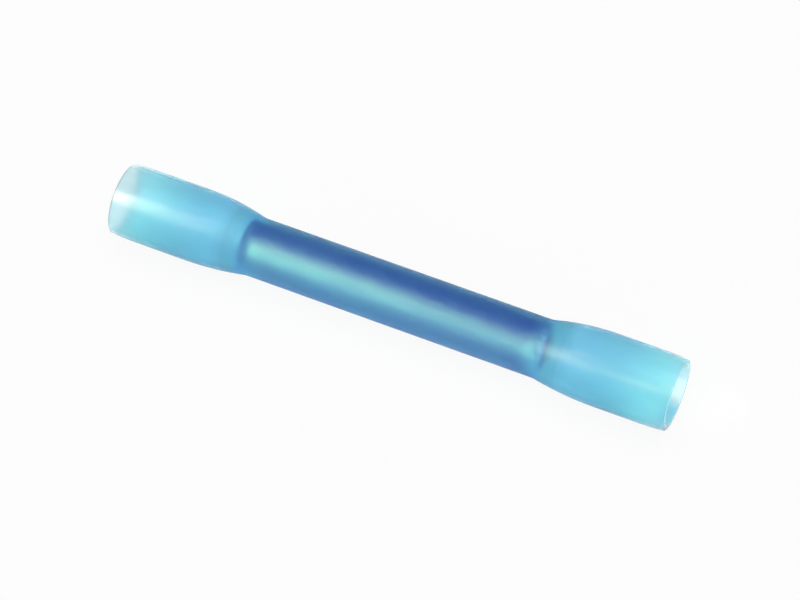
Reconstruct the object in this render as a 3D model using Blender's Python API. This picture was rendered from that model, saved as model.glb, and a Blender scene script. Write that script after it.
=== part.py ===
"""Heat-shrink butt splice connector for 1.5 to 2.5 mm2 wire.

A translucent blue sleeve is shrunk on to a tinned copper crimp barrel. The sleeve's two ends stay wide and
open, so that each takes an insulated wire. The connector lies along X with its thick side down, on z = 0.
A slight flat under the sleeve keeps it from rolling. Lengths are in metres and +Z is up.
"""

from math import asin, cos, pi, radians, sin, sqrt

import bmesh
import bpy

# Sleeve: an extruded tube, shrunk in its middle
SLEEVE_LENGTH = 0.0400
SLEEVE_RADIUS = 0.002525  # outside, at the wide ends
SLEEVE_WALL = 0.00036  # at the wide ends, before it thickens by shrinking
BORE_RISE = 0.00008  # how far the bore lies above the outside's centre
SHRUNK_DROP = 0.00012  # how far the shrunk middle hangs below the wide ends' centre
REST_FLAT = 0.0005  # half the width of the flat that the wide ends lie on
SHRINK_SHIFT = 0.0002  # the middle of the shrunk part lies this far towards +X from the sleeve's middle
NECK_LEAD = 0.0005  # the sleeve starts to widen about this far before the barrel's ends
NECK_LENGTH = 0.0045
NECK_EASE = 0.55  # under 1, the neck turns faster near the barrel than near the wide end
MOUTH_CURL = 0.00009  # how far the cut ends curl inwards
CURL_LENGTH = 0.0016
MOUTH_ROUND = 0.00006  # on the edges of the cut ends

# Crimp barrel: a drawn tube with a wire stop pressed into its middle from below
BARREL_LENGTH = 0.0218
BARREL_RADIUS = 0.00152
BARREL_WALL = 0.00042
BARREL_ROUND = 0.00015  # on the outer edges of its mouths
LEAD_IN = 0.00012  # countersink that guides the strands into the bore
STOP_DEPTH = 0.00075
STOP_REACH = 0.0012  # half the stop's length along the barrel
STOP_SPREAD = 0.0009  # half its width across

FIT_GAP = 0.00004  # between the barrel and the shrunk sleeve

# How finely the round surfaces are divided, and which of their edges are shaded crisp or rounded off
SIDES = 32
CURL_STEPS = 4
NECK_STEPS = 11
STOP_STEPS = 10
CRISP_FROM = radians(40)
SQUARE_FROM = radians(60)

SLEEVE_BLUE = (0.16, 0.50, 0.80)
TIN_GREY = (0.72, 0.73, 0.72)

# Shrinking keeps the area of the wall's section, here without its factor of pi
WALL_SECTION = SLEEVE_RADIUS**2 - (SLEEVE_RADIUS - SLEEVE_WALL) ** 2
SHRUNK_BORE = BARREL_RADIUS + FIT_GAP
SHRUNK_RADIUS = sqrt(SHRUNK_BORE**2 + WALL_SECTION)
NECK_START = BARREL_LENGTH / 2 - NECK_LEAD  # from the middle of the shrunk part
FLAT_TURN = asin(REST_FLAT / SLEEVE_RADIUS)  # the flat reaches this far round to each side
SLEEVE_HEIGHT = SLEEVE_RADIUS * cos(FLAT_TURN)
BARREL_HEIGHT = SLEEVE_HEIGHT - SHRUNK_DROP + BORE_RISE


def clear_scene():
    for thing in list(bpy.data.objects):
        bpy.data.objects.remove(thing, do_unlink=True)


def widening(x):
    """0 along the shrunk middle, rising to 1 where the sleeve has its full width."""
    past = (abs(x - SHRINK_SHIFT) - NECK_START) / NECK_LENGTH
    share = min(max(past, 0.0), 1.0) ** NECK_EASE
    return share * share * (3 - 2 * share)


def curl(x):
    """How far the sleeve's wall has turned inwards near its cut end."""
    share = max(1 - (SLEEVE_LENGTH / 2 - abs(x)) / CURL_LENGTH, 0.0)
    return MOUTH_CURL * share * share


def sleeve_radii(x):
    """Outer and inner radius of the sleeve."""
    outer = SHRUNK_RADIUS + (SLEEVE_RADIUS - SHRUNK_RADIUS) * widening(x)
    inner = sqrt(outer**2 - WALL_SECTION)
    return outer - curl(x), inner - curl(x)


def sleeve_stations():
    """Where along X the sleeve has a round of points: close together where its outline bends."""
    end = SLEEVE_LENGTH / 2
    places = set()
    for side in (-1, 1):
        for step in range(CURL_STEPS + 1):
            places.add(side * (end - CURL_LENGTH * step / CURL_STEPS))
        for step in range(NECK_STEPS + 1):
            places.add(SHRINK_SHIFT + side * (NECK_START + NECK_LENGTH * step / NECK_STEPS))
    return sorted(place for place in places if abs(place) <= end)


def round_of_points(x, radius, rise=0.0):
    """Points round the X axis. The first and the last bound the flat, which faces down."""
    step = 2 * (pi - FLAT_TURN) / (SIDES - 1)
    turns = [FLAT_TURN + step * side for side in range(SIDES)]
    return [(x, radius * sin(turn), rise - radius * cos(turn)) for turn in turns]


def tube_mesh(name, rounds):
    """Joins each round of points to the next and the last to the first: outside, mouth, bore, mouth."""
    shape = bmesh.new()
    loops = [[shape.verts.new(point) for point in points] for points in rounds]
    for near, far in zip(loops, loops[1:] + loops[:1]):
        for side in range(SIDES):
            shape.faces.new((near[side - 1], near[side], far[side], far[side - 1]))
    mesh = bpy.data.meshes.new(name)
    shape.to_mesh(mesh)
    shape.free()
    mesh.shade_smooth()
    mesh.set_sharp_from_angle(angle=CRISP_FROM)
    return mesh


def material(name, colour, metallic, roughness, transmission=0.0):
    made = bpy.data.materials.new(name)
    made.use_nodes = True
    shader = made.node_tree.nodes["Principled BSDF"]
    shader.inputs["Base Color"].default_value = (*colour, 1.0)
    shader.inputs["Metallic"].default_value = metallic
    shader.inputs["Roughness"].default_value = roughness
    shader.inputs["Transmission Weight"].default_value = transmission
    made.diffuse_color = (*colour, 1.0)
    return made


def add_part(name, mesh, finish, carrier, location):
    """Puts a mesh in the scene as a sub-part that hangs from the carrier."""
    part = bpy.data.objects.new(name, mesh)
    mesh.materials.append(finish)
    part.parent = carrier
    part.location = location
    bpy.context.scene.collection.objects.link(part)
    return part


def round_edges(part, width):
    """Rounds the square edges at a tube's mouths. The countersink's edges are flatter, and stay crisp."""
    bevel = part.modifiers.new("mouth_edges", "BEVEL")
    bevel.width = width
    bevel.segments = 2
    bevel.limit_method = "ANGLE"
    bevel.angle_limit = SQUARE_FROM


def make_sleeve(carrier):
    """The outer surface hangs a little lower in the middle, and the bore lies above its centre."""
    outside = []
    bore = []
    for x in sleeve_stations():
        outer, inner = sleeve_radii(x)
        centre = SHRUNK_DROP * (widening(x) - 1)
        outside.append(round_of_points(x, outer, centre))
        bore.append(round_of_points(x, inner, centre + BORE_RISE))
    mesh = tube_mesh("heat_shrink_sleeve", outside + bore[::-1])
    finish = material("translucent_blue_nylon", SLEEVE_BLUE, metallic=0.0, roughness=0.3, transmission=0.5)
    sleeve = add_part("heat_shrink_sleeve", mesh, finish, carrier, (0, 0, SLEEVE_HEIGHT))
    round_edges(sleeve, MOUTH_ROUND)


def pressed(point):
    """Moves a point of the barrel's underside up, where the wire stop is pressed in."""
    x, y, z = point
    share = max(1 - (x / STOP_REACH) ** 2 - (y / STOP_SPREAD) ** 2, 0.0)
    return (x, y, z + STOP_DEPTH * share * share) if z < 0 else point


def make_barrel(carrier):
    end = BARREL_LENGTH / 2
    bore_radius = BARREL_RADIUS - BARREL_WALL
    middle = [STOP_REACH * (2 * step / STOP_STEPS - 1) for step in range(STOP_STEPS + 1)]
    outside = [(x, BARREL_RADIUS) for x in (-end, *middle, end)]
    bore = [(x, bore_radius) for x in (end - LEAD_IN, *middle[::-1], LEAD_IN - end)]
    mouth = bore_radius + LEAD_IN
    rounds = [round_of_points(x, radius) for x, radius in (*outside, (end, mouth), *bore, (-end, mouth))]
    mesh = tube_mesh("crimp_barrel", [[pressed(point) for point in points] for points in rounds])
    finish = material("tinned_copper", TIN_GREY, metallic=1.0, roughness=0.32)
    barrel = add_part("crimp_barrel", mesh, finish, carrier, (0, 0, BARREL_HEIGHT))
    round_edges(barrel, BARREL_ROUND)


def main():
    clear_scene()
    carrier = bpy.data.objects.new("butt_splice_connector", None)
    bpy.context.scene.collection.objects.link(carrier)
    make_sleeve(carrier)
    make_barrel(carrier)


main()
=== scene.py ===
"""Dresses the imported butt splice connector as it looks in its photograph.

A translucent blue sleeve is shrunk on to a tinned copper barrel, on a white studio floor. Both nodes of the
frame are replaced by finer meshes of the same form. Lengths are in metres, +X runs along the connector and
+Z is up.
"""

from math import asin, cos, pi, radians, sin, sqrt

import bmesh
import bpy
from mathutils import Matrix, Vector


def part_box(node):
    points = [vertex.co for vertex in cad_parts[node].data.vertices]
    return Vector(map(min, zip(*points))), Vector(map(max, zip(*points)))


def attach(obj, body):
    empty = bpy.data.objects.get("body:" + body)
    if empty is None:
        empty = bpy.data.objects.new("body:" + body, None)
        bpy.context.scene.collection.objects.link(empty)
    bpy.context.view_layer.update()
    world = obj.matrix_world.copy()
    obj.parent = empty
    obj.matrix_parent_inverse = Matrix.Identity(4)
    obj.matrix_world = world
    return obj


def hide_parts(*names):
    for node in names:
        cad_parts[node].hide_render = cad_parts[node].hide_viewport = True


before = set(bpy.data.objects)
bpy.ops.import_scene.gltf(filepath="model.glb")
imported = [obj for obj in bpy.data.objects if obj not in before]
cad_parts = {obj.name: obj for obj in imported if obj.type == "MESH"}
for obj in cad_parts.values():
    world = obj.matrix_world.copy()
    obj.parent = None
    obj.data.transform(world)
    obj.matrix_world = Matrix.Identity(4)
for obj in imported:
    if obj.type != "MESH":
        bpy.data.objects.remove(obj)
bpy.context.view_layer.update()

MM = 0.001

# The sleeve's sizes, as in the part's source
SLEEVE_LOW, SLEEVE_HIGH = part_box("heat_shrink_sleeve")
SLEEVE_LENGTH = SLEEVE_HIGH.x - SLEEVE_LOW.x
SLEEVE_RADIUS = 2.525 * MM
SLEEVE_WALL = 0.36 * MM
BORE_RISE = 0.08 * MM
SHRUNK_DROP = 0.12 * MM
SHRINK_SHIFT = 0.2 * MM
REST_FLAT = 0.5 * MM
NECK_LEAD = 0.5 * MM
NECK_LENGTH = 4.5 * MM
NECK_EASE = 0.55
MOUTH_CURL = 0.09 * MM
CURL_LENGTH = 1.6 * MM
MOUTH_ROUND = 0.08 * MM  # a little softer than the solid's 0.06 mm

# The barrel's sizes
BARREL_LOW, BARREL_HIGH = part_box("crimp_barrel")
BARREL_LENGTH = BARREL_HIGH.x - BARREL_LOW.x
BARREL_RADIUS = 1.52 * MM
BARREL_WALL = 0.42 * MM
BARREL_ROUND = 0.15 * MM
LEAD_IN = 0.12 * MM
STOP_DEPTH = 0.75 * MM
STOP_REACH = 1.2 * MM
STOP_SPREAD = 0.9 * MM
FIT_GAP = 0.04 * MM

WALL_SECTION = SLEEVE_RADIUS**2 - (SLEEVE_RADIUS - SLEEVE_WALL) ** 2
SHRUNK_BORE = BARREL_RADIUS + FIT_GAP
SHRUNK_RADIUS = sqrt(SHRUNK_BORE**2 + WALL_SECTION)
NECK_START = BARREL_LENGTH / 2 - NECK_LEAD
FLAT_TURN = asin(REST_FLAT / SLEEVE_RADIUS)
SLEEVE_HEIGHT = SLEEVE_RADIUS * cos(FLAT_TURN)
BARREL_HEIGHT = SLEEVE_HEIGHT - SHRUNK_DROP + BORE_RISE

# How finely the round surfaces are divided
SIDES = 144
STATION_STEP = 0.25 * MM
ROUND_STEPS = 6

RAMP_REACH = 22.0  # millimetres at which the colour ramps end
RIGHT_NECK = 11.9 * MM  # where the painted highlight on the right neck is strongest
COLOUR_A = 6  # the two colour inputs of a Mix node
COLOUR_B = 7

# The photograph's camera
AZIMUTH = radians(23.9)
ELEVATION = radians(53.6)
DISTANCE = 247 * MM
LENS = 168.1
AIM_RIGHT = 0.32 * MM  # the photograph's middle lies this far beside and below the connector's
AIM_DOWN = 0.32 * MM


def linear(code):
    """The linear colour of an sRGB hex code such as "8fd4e6"."""
    shares = [int(code[place : place + 2], 16) / 255 for place in (0, 2, 4)]
    return (*[s / 12.92 if s <= 0.04045 else ((s + 0.055) / 1.055) ** 2.4 for s in shares], 1.0)


def grey(value):
    """A colour whose three channels hold one number."""
    return (value, value, value, 1.0)


def add_node(tree, kind, sockets=None, **settings):
    """Adds a node. Each of its sockets takes a value, or the output that feeds it."""
    node = tree.nodes.new(kind)
    for name, value in settings.items():
        setattr(node, name, value)
    for name, value in (sockets or {}).items():
        if isinstance(value, bpy.types.NodeSocket):
            tree.links.new(value, node.inputs[name])
        else:
            node.inputs[name].default_value = value
    return node


def new_material(name):
    """An empty material, its node tree and its output node."""
    made = bpy.data.materials.new(name)
    made.use_nodes = True
    made.node_tree.nodes.clear()
    return made, made.node_tree, made.node_tree.nodes.new("ShaderNodeOutputMaterial")


def widening(x):
    """0 along the shrunk middle, rising to 1 where the sleeve has its full width."""
    past = (abs(x - SHRINK_SHIFT) - NECK_START) / NECK_LENGTH
    share = min(max(past, 0.0), 1.0) ** NECK_EASE
    return share * share * (3 - 2 * share)


def curl(x):
    """How far the sleeve's wall has turned inwards near its cut end."""
    share = max(1 - (SLEEVE_LENGTH / 2 - abs(x)) / CURL_LENGTH, 0.0)
    return MOUTH_CURL * share * share


def sleeve_radii(x):
    """Outer and inner radius of the sleeve."""
    outer = SHRUNK_RADIUS + (SLEEVE_RADIUS - SHRUNK_RADIUS) * widening(x)
    inner = sqrt(outer**2 - WALL_SECTION)
    return outer - curl(x), inner - curl(x)


def round_of_points(x, radius, height):
    """Points round the X axis at one station, the lowest few of them on the sleeve's rest flat."""
    points = []
    for side in range(SIDES):
        turn = 2 * pi * (side / SIDES) - pi
        reach = radius * (cos(FLAT_TURN) / cos(turn)) if abs(turn) < FLAT_TURN else radius
        points.append((x, reach * sin(turn), height - reach * cos(turn)))
    return points


def tube_mesh(name, rounds, inside_from):
    """Joins each round of points to the next and the last to the first.

    Faces from the round inside_from on line the bore, and take the second material.
    """
    shape = bmesh.new()
    loops = [[shape.verts.new(point) for point in points] for points in rounds]
    for place, (near, far) in enumerate(zip(loops, loops[1:] + loops[:1])):
        for side in range(SIDES):
            face = shape.faces.new((near[side - 1], near[side], far[side], far[side - 1]))
            if place >= inside_from:
                face.material_index = 1
    mesh = bpy.data.meshes.new(name)
    shape.to_mesh(mesh)
    shape.free()
    mesh.shade_smooth()
    return mesh


def add_piece(name, mesh, finishes, node):
    """Puts a piece in the scene in place of one CAD node."""
    piece = bpy.data.objects.new(name, mesh)
    for finish in finishes:
        mesh.materials.append(finish)
    bpy.context.scene.collection.objects.link(piece)
    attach(piece, "root")
    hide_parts(node)
    return piece


def sleeve_round(x, inside, inset=0.0):
    """A round of the sleeve's outer surface, or of its bore, drawn back into the wall by inset."""
    radii = sleeve_radii(x)
    height = SLEEVE_HEIGHT + SHRUNK_DROP * (widening(x) - 1)
    if inside:
        return round_of_points(x, radii[1] + inset, height + BORE_RISE)
    return round_of_points(x, radii[0] - inset, height)


def rounded_lip(side):
    """Stations and insets that round a cut end's edge, from its face back to the wall."""
    end = SLEEVE_LENGTH / 2
    places = []
    for step in range(ROUND_STEPS + 1):
        turn = pi / 2 * step / ROUND_STEPS
        places.append((side * (end - MOUTH_ROUND * (1 - cos(turn))), MOUTH_ROUND * (1 - sin(turn))))
    return places


def make_sleeve(finishes):
    run = SLEEVE_LENGTH / 2 - MOUTH_ROUND - STATION_STEP
    count = round(2 * run / STATION_STEP)
    stations = [run * (2 * step / count - 1) for step in range(count + 1)]
    outside = [sleeve_round(x, False, inset) for x, inset in rounded_lip(-1)]
    outside += [sleeve_round(x, False) for x in stations]
    outside += [sleeve_round(x, False, inset) for x, inset in rounded_lip(1)[::-1]]
    bore = [sleeve_round(x, True, inset) for x, inset in rounded_lip(1)]
    bore += [sleeve_round(x, True) for x in stations[::-1]]
    bore += [sleeve_round(x, True, inset) for x, inset in rounded_lip(-1)[::-1]]
    mesh = tube_mesh("heat_shrink_sleeve", outside + bore, inside_from=len(outside))
    return add_piece("shrunk_blue_sleeve", mesh, finishes, "heat_shrink_sleeve")


def pressed(point):
    """Moves a point of the barrel's underside up, where the wire stop is pressed in."""
    x, y, z = point
    share = max(1 - (x / STOP_REACH) ** 2 - (y / STOP_SPREAD) ** 2, 0.0)
    return (x, y, z + STOP_DEPTH * share * share) if z < BARREL_HEIGHT else point


def barrel_round(x, radius):
    """Points round the barrel's axis at one station, with the wire stop pressed into the lowest of them."""
    points = []
    for side in range(SIDES):
        turn = 2 * pi * side / SIDES - pi
        points.append(pressed((x, radius * sin(turn), BARREL_HEIGHT - radius * cos(turn))))
    return points


def make_barrel(finish):
    end = BARREL_LENGTH / 2
    bore_radius = BARREL_RADIUS - BARREL_WALL
    mouth = bore_radius + LEAD_IN
    run = end - BARREL_ROUND - STATION_STEP
    count = round(2 * run / STATION_STEP)
    stations = [run * (2 * step / count - 1) for step in range(count + 1)]
    lip = []
    for step in range(ROUND_STEPS + 1):
        turn = pi / 2 * step / ROUND_STEPS
        lip.append((end - BARREL_ROUND * (1 - cos(turn)), BARREL_RADIUS - BARREL_ROUND * (1 - sin(turn))))
    outside = [(-x, radius) for x, radius in lip]
    outside += [(x, BARREL_RADIUS) for x in stations]
    outside += lip[::-1]
    bore = [(end, mouth), (end - LEAD_IN, bore_radius)]
    bore += [(x, bore_radius) for x in stations[::-1] if abs(x) < end - LEAD_IN]
    bore += [(LEAD_IN - end, bore_radius), (-end, mouth)]
    rounds = [barrel_round(x, radius) for x, radius in outside + bore]
    mesh = tube_mesh("crimp_barrel", rounds, inside_from=len(rounds))
    mesh.set_sharp_from_angle(angle=radians(40))
    return add_piece("tinned_crimp_barrel", mesh, [finish], "crimp_barrel")


def by_distance(tree, distance, stops):
    """A colour that changes with a distance. Each stop pairs millimetres with a colour."""
    node = add_node(tree, "ShaderNodeValToRGB", {"Fac": distance})
    colours = node.color_ramp.elements
    while len(colours) < len(stops):
        colours.new(0.5)
    for stop, (millimetres, colour) in zip(colours, stops):
        stop.position = millimetres / RAMP_REACH
        stop.color = colour
    return node.outputs["Color"]


def place_on(tree, axis):
    """Where a point lies along one of the piece's axes, in metres."""
    place = add_node(tree, "ShaderNodeTexCoord")
    return add_node(tree, "ShaderNodeSeparateXYZ", {0: place.outputs["Object"]}).outputs[axis]


def distance_from(tree, middle, axis="X"):
    """How far along an axis a point lies from a place on it, as a share of the colour ramps' reach."""
    shifted = add_node(tree, "ShaderNodeMath", {0: place_on(tree, axis), 1: middle}, operation="SUBTRACT")
    either = add_node(tree, "ShaderNodeMath", {0: shifted.outputs[0]}, operation="ABSOLUTE")
    scaled = {0: either.outputs[0], 1: RAMP_REACH * MM}
    return add_node(tree, "ShaderNodeMath", scaled, operation="DIVIDE").outputs[0]


def gripped(tree):
    """1 where the nylon clings to the barrel, fading to 0 just short of the barrel's ends."""
    return by_distance(tree, distance_from(tree, SHRINK_SHIFT), [(9.7, grey(1.0)), (10.5, grey(0.0))])


def streaks(tree, lengthwise, crosswise):
    """Soft noise whose marks are that many millimetres long and wide."""
    place = add_node(tree, "ShaderNodeTexCoord")
    scale = [1 / (size * MM) for size in (lengthwise, crosswise, crosswise)]
    fitted = add_node(tree, "ShaderNodeMapping", {"Vector": place.outputs["Object"], "Scale": scale})
    noise = {"Vector": fitted.outputs[0], "Scale": 1.0, "Detail": 2.0, "Roughness": 0.5}
    return add_node(tree, "ShaderNodeTexNoise", noise).outputs[0]


def between(tree, factor, low, high):
    """A number that goes from low to high as noise goes from its usual lowest to its usual highest."""
    span = {"Value": factor, "From Min": 0.3, "From Max": 0.7, "To Min": low, "To Max": high}
    return add_node(tree, "ShaderNodeMapRange", span).outputs[0]


def dye_and_rim_shade_along(tree, reach):
    """The dye's tint along the tube: deepest where it narrows, thinnest at its mouths.

    Only the left cut is as far from the shrunk part's middle as the last stop, which is painted shade along
    its rim.
    """
    stops = [
        (10.4, linear("85ffde")),
        (10.9, linear("73e5ec")),
        (11.9, linear("77c4d1")),
        (12.7, linear("85dfeb")),
        (13.5, linear("82dbe6")),
        (15.9, linear("84dbe3")),
        (18.0, linear("90eff0")),
        (19.7, linear("9ef2f3")),
        (20.08, linear("9ef2f3")),
        # The last stop is painted shade: a dark grey-blue along the left cut's rim.
        (20.13, linear("61898e")),
    ]
    return by_distance(tree, reach, stops)


def thick_wall_and_top_sheen(tree, height):
    """Paler and redder above, less red below: partly because the wall is thicker below, partly painted light,
    a reflection on the upper side and shade on the lower.
    """
    return by_distance(tree, height, [(0.0, (0.62, 1.0, 1.04, 1.0)), (5.0, (1.4, 1.05, 1.0, 1.0))])


def right_mouth_light_and_shade(tree, height):
    """By the right cut, painted shade makes the wall bluer along its bottom and a painted highlight makes it
    pale above, which shows in the open mouth.
    """
    lit_and_shaded_lining = [
        (0.0, (0.4, 0.6, 0.87, 1.0)),
        (0.08, (0.5, 0.7, 0.9, 1.0)),
        (0.3, (1.9, 0.9, 0.95, 1.0)),
        (0.9, (2.1, 0.9, 0.95, 1.0)),
        (1.4, (1.4, 0.9, 0.95, 1.0)),
        (2.3, grey(1.0)),
    ]
    from_cut = distance_from(tree, SLEEVE_LENGTH / 2)
    share = by_distance(tree, from_cut, [(0.7, grey(1.0)), (1.15, grey(0.0))])
    colours = {"Factor": share, COLOUR_A: grey(1.0), COLOUR_B: by_distance(tree, height, lit_and_shaded_lining)}
    return add_node(tree, "ShaderNodeMix", colours, data_type="RGBA").outputs[2]


def paleness(tree):
    """How pale the tint is: in soft clouds of thinner dye, lighter towards the right, and lightest in the
    right neck, where a painted highlight stands for the light on its slope.
    """
    end = SLEEVE_LENGTH / 2
    span = {"Value": place_on(tree, "X"), "From Min": -end, "From Max": end, "To Min": 0.94, "To Max": 1.06}
    rightwards = add_node(tree, "ShaderNodeMapRange", span).outputs[0]
    from_neck = distance_from(tree, RIGHT_NECK)
    neck_shine = by_distance(tree, from_neck, [(0.0, grey(1.4)), (0.5, grey(1.3)), (1.2, grey(1.0))])
    pale = between(tree, streaks(tree, 3.0, 1.2), 0.94, 1.06)
    for change in (rightwards, neck_shine):
        pale = add_node(tree, "ShaderNodeMath", {0: pale, 1: change}, operation="MULTIPLY").outputs[0]
    return pale


def sleeve_tint(tree, reach):
    """The colour that the sleeve gives to light that passes through it, with painted highlights and painted
    shade in it.
    """
    height = distance_from(tree, 0.0, "Z")
    tint = dye_and_rim_shade_along(tree, reach)
    for change in (thick_wall_and_top_sheen(tree, height), right_mouth_light_and_shade(tree, height)):
        tint = add_node(tree, "ShaderNodeVectorMath", {0: tint, 1: change}, operation="MULTIPLY").outputs[0]
    scaled = {0: tint, "Scale": paleness(tree)}
    return add_node(tree, "ShaderNodeVectorMath", scaled, operation="SCALE").outputs[0]


# Extruded nylon with blue dye: cyan where light passes through, deep blue where the dye scatters it back, and
# milky where it leaves the barrel. The eye sees a satin skin with a soft haze in it. The tube was drawn
# through a die, so faint streaks run along it, and its skin ripples a little. Real streaks are about 0.05 mm
# wide. These are 0.3 mm, so that they show at all. Solid nylon's IOR is 1.53. It is lower here, most of all
# at the wide ends, so that the wall is lit as evenly as the real one.
def sleeve_skin():
    made, tree, out = new_material("extruded_translucent_blue_nylon")
    reach = distance_from(tree, SHRINK_SHIFT)
    tint = sleeve_tint(tree, reach)
    drawn = streaks(tree, 7.0, 0.3)
    ripple = add_node(tree, "ShaderNodeBump", {"Strength": 0.03, "Distance": 0.03 * MM, "Height": drawn})
    gloss = by_distance(
        tree,
        reach,
        [(10.4, grey(0.1)), (12.5, grey(0.5)), (15.8, grey(0.4)), (17.6, grey(0.55)), (18.6, grey(1.0))],
    )
    loose, held = [
        add_node(
            tree,
            "ShaderNodeBsdfPrincipled",
            {
                "Base Color": tint,
                "Roughness": between(tree, drawn, 0.44, 0.56),
                "IOR": ior,
                "Transmission Weight": 1.0,
                "Coat Weight": gloss,
                "Coat Roughness": 0.2,
                "Normal": ripple.outputs[0],
            },
        )
        for ior in (1.15, 1.38)
    ]
    clear = add_node(
        tree,
        "ShaderNodeMixShader",
        {0: gripped(tree), 1: loose.outputs[0], 2: held.outputs[0]},
    )
    deep = linear("3f74ff")
    milk = linear("5ca4db")
    scattered = by_distance(tree, reach, [(10.2, deep), (11.2, milk), (11.6, milk), (12.6, deep)])
    haze = add_node(
        tree,
        "ShaderNodeBsdfPrincipled",
        {"Base Color": scattered, "Roughness": 0.5, "Normal": ripple.outputs[0]},
    )
    share = by_distance(
        tree,
        reach,
        [(10.2, grey(0.36)), (10.7, grey(0.5)), (11.5, grey(0.42)), (12.2, grey(0.17)), (19.7, grey(0.08))],
    )
    skin = add_node(tree, "ShaderNodeMixShader", {0: share, 1: clear.outputs[0], 2: haze.outputs[0]})
    tree.links.new(skin.outputs[0], out.inputs["Surface"])
    return made


# The bore was never touched by a tool: clear, rougher than the outside, with the die's faint lines along it.
# Where the nylon clings to the tin, next to no air is left between them, so light crosses it almost unbent.
# Real lines are about 0.05 mm wide. These are 0.25 mm, so that they show at all.
def bore_skin():
    made, tree, out = new_material("drawn_clear_nylon_bore")
    drawn = streaks(tree, 9.0, 0.25)
    loose, held = [
        add_node(
            tree,
            "ShaderNodeBsdfPrincipled",
            {
                "Base Color": linear("ffffff"),
                "Roughness": between(tree, drawn, 0.52, 0.68),
                "IOR": ior,
                "Transmission Weight": 1.0,
                "Coat Weight": 0.7,
                "Coat Roughness": 0.3,
            },
        )
        for ior in (1.08, 1.03)
    ]
    skin = add_node(
        tree,
        "ShaderNodeMixShader",
        {0: gripped(tree), 1: loose.outputs[0], 2: held.outputs[0]},
    )
    tree.links.new(skin.outputs[0], out.inputs["Surface"])
    return made


# Tin-plated copper tube: a soft satin metal with the drawing die's fine lines along it and faint clouds in
# the plating. Painted shade darkens it towards the right, where the lamps' highlight fades, and a painted
# highlight lightens its right cut end. It is matt at both ends. Real lines are about 0.02 mm wide. These are
# 0.12 mm, so that they show through the nylon.
def barrel_skin():
    made, tree, out = new_material("drawn_tinned_copper")
    dulled = by_distance(tree, distance_from(tree, 0.0), [(10.0, grey(0.5)), (10.7, grey(1.0))])
    drawn = streaks(tree, 6.0, 0.12)
    cloud = streaks(tree, 2.0, 0.8)
    from_left = distance_from(tree, -BARREL_LENGTH / 2)
    # Tin's colour, darkened towards the right as painted shade and lightened at the right cut end as a
    # painted highlight
    stops = [(0.0, linear("c6c8b7")), (20.3, linear("acae9f")), (21.3, linear("e4e8dc"))]
    clouded = {0: by_distance(tree, from_left, stops), "Scale": between(tree, cloud, 0.93, 1.07)}
    tin_and_painted_light = add_node(tree, "ShaderNodeVectorMath", clouded, operation="SCALE").outputs[0]
    worn = {0: dulled, 1: between(tree, drawn, -0.07, 0.07)}
    roughness = add_node(tree, "ShaderNodeMath", worn, operation="ADD").outputs[0]
    lines = add_node(tree, "ShaderNodeBump", {"Strength": 0.3, "Distance": 0.01 * MM, "Height": drawn})
    metal = add_node(
        tree,
        "ShaderNodeBsdfPrincipled",
        {"Base Color": tin_and_painted_light, "Metallic": 1.0, "Roughness": roughness, "Normal": lines.outputs[0]},
    )
    tree.links.new(metal.outputs[0], out.inputs["Surface"])
    return made


def seen_directly(tree):
    """1 for rays that show a surface to the camera, straight, mirrored or through the sleeve."""
    path = add_node(tree, "ShaderNodeLightPath")
    either = add_node(
        tree,
        "ShaderNodeMath",
        {0: path.outputs["Is Camera Ray"], 1: path.outputs["Is Glossy Ray"]},
        operation="MAXIMUM",
    )
    return add_node(
        tree,
        "ShaderNodeMath",
        {0: either.outputs[0], 1: path.outputs["Is Transmission Ray"]},
        operation="MAXIMUM",
    ).outputs[0]


# White painted board: matt, and shown as plain white but for a faint trace of the connector's shadow
def floor_skin():
    made, tree, out = new_material("white_painted_board")
    board = add_node(tree, "ShaderNodeBsdfDiffuse", {"Color": linear("f4f4f3")})
    white = add_node(tree, "ShaderNodeEmission", {"Color": linear("fefefe"), "Strength": 1.0})
    share = add_node(tree, "ShaderNodeMath", {0: seen_directly(tree), 1: 0.93}, operation="MULTIPLY")
    both = add_node(
        tree, "ShaderNodeMixShader", {0: share.outputs[0], 1: board.outputs[0], 2: white.outputs[0]}
    )
    tree.links.new(both.outputs[0], out.inputs["Surface"])
    return made


def make_floor():
    half = 3.0  # metres
    mesh = bpy.data.meshes.new("floor")
    corners = [(-half, -half, 0), (half, -half, 0), (half, half, 0), (-half, half, 0)]
    mesh.from_pydata(corners, [], [(0, 1, 2, 3)])
    mesh.materials.append(floor_skin())
    floor = bpy.data.objects.new("floor", mesh)
    floor.location.z = -0.01 * MM  # so that the sleeve's rest flat doesn't share its plane
    bpy.context.scene.collection.objects.link(floor)


def add_lamp(name, towards, distance, width, height, radiance, colour="ffffff", shows="DGT"):
    """A soft box at a distance from the connector, facing it. Radiance 1 is as bright as white paper.

    The letters of shows say how it is seen: D lights matt surfaces, G is mirrored in the sleeve's skin, and
    T is mirrored in the barrel, through the sleeve.
    """
    lamp = bpy.data.lights.new(name, "AREA")
    lamp.shape = "RECTANGLE"
    lamp.size = width
    lamp.size_y = height
    lamp.energy = radiance * pi * width * height
    lamp.color = linear(colour)[:3]
    box = bpy.data.objects.new(name, lamp)
    direction = Vector(towards).normalized()
    box.location = direction * distance
    box.rotation_mode = "QUATERNION"
    box.rotation_quaternion = (-direction).to_track_quat("-Z", "Y")
    box.visible_diffuse = "D" in shows
    box.visible_glossy = "G" in shows
    box.visible_transmission = "T" in shows
    bpy.context.scene.collection.objects.link(box)


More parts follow.
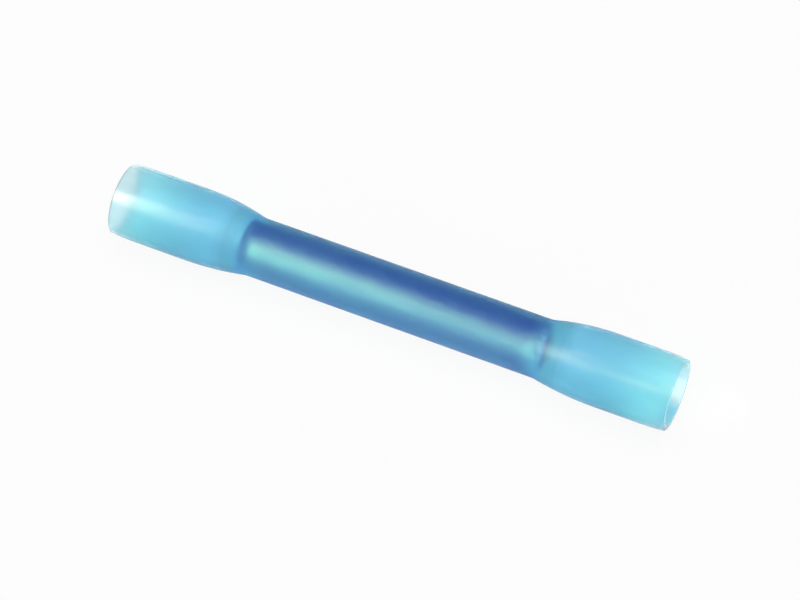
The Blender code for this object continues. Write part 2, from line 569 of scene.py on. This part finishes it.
def make_lights():
    add_lamp("front_soft_box", (-0.4, -0.82, 0.42), 0.45, 0.5, 0.4, 1.8, shows="DT")
    add_lamp("left_shine", (-0.72, -0.41, 0.62), 0.44, 0.26, 0.2, 11.5, "ffedbc", shows="GT")
    add_lamp("middle_shine", (-0.33, -0.61, 0.71), 0.43, 0.2, 0.22, 4.6, "ffedbc", shows="GT")
    add_lamp("low_front", (-0.45, -0.88, 0.2), 0.5, 0.4, 0.24, 4.0, shows="T")
    add_lamp("left_mouth_shine", (-0.41, -0.31, 0.85), 0.15, 0.032, 0.11, 6.0, "ffe4dc", shows="G")
    add_lamp("ceiling_fill", (0, 0, 1), 0.9, 1.2, 1.2, 1.8, shows="D")


def make_world():
    """White where the camera looks past the floor, dim and even for everything else."""
    world = bpy.data.worlds.new("studio")
    world.use_nodes = True
    tree = world.node_tree
    tree.nodes.clear()
    out = tree.nodes.new("ShaderNodeOutputWorld")
    path = add_node(tree, "ShaderNodeLightPath")
    place = add_node(tree, "ShaderNodeTexCoord")
    height = add_node(tree, "ShaderNodeSeparateXYZ", {0: place.outputs["Generated"]}).outputs["Z"]
    span = {"Value": height, "From Min": 0.02, "From Max": 0.22, "To Min": 0.75, "To Max": 0.06}
    glow = add_node(tree, "ShaderNodeMapRange", span)
    room = add_node(tree, "ShaderNodeBackground", {"Color": linear("ffffff"), "Strength": glow.outputs[0]})
    white = add_node(tree, "ShaderNodeBackground", {"Color": linear("ffffff"), "Strength": 1.0})
    both = add_node(
        tree,
        "ShaderNodeMixShader",
        {0: path.outputs["Is Camera Ray"], 1: room.outputs[0], 2: white.outputs[0]},
    )
    tree.links.new(both.outputs[0], out.inputs["Surface"])
    bpy.context.scene.world = world


def make_camera():
    data = bpy.data.cameras.new("camera")
    data.lens = LENS
    data.clip_start = 0.01
    camera = bpy.data.objects.new("camera", data)
    back = Vector((sin(AZIMUTH) * cos(ELEVATION), -cos(AZIMUTH) * cos(ELEVATION), sin(ELEVATION)))
    right = Vector((cos(AZIMUTH), sin(AZIMUTH), 0))
    up = back.cross(right)
    aim = Vector((0, 0, SLEEVE_HEIGHT)) + right * AIM_RIGHT - up * AIM_DOWN
    camera.location = aim + back * DISTANCE
    camera.rotation_mode = "QUATERNION"
    camera.rotation_quaternion = (-back).to_track_quat("-Z", "Y")
    bpy.context.scene.collection.objects.link(camera)
    bpy.context.scene.camera = camera


def main():
    bpy.context.scene.view_settings.view_transform = "Standard"
    make_sleeve([sleeve_skin(), bore_skin()])
    make_barrel(barrel_skin())
    make_floor()
    make_lights()
    make_world()
    make_camera()


main()
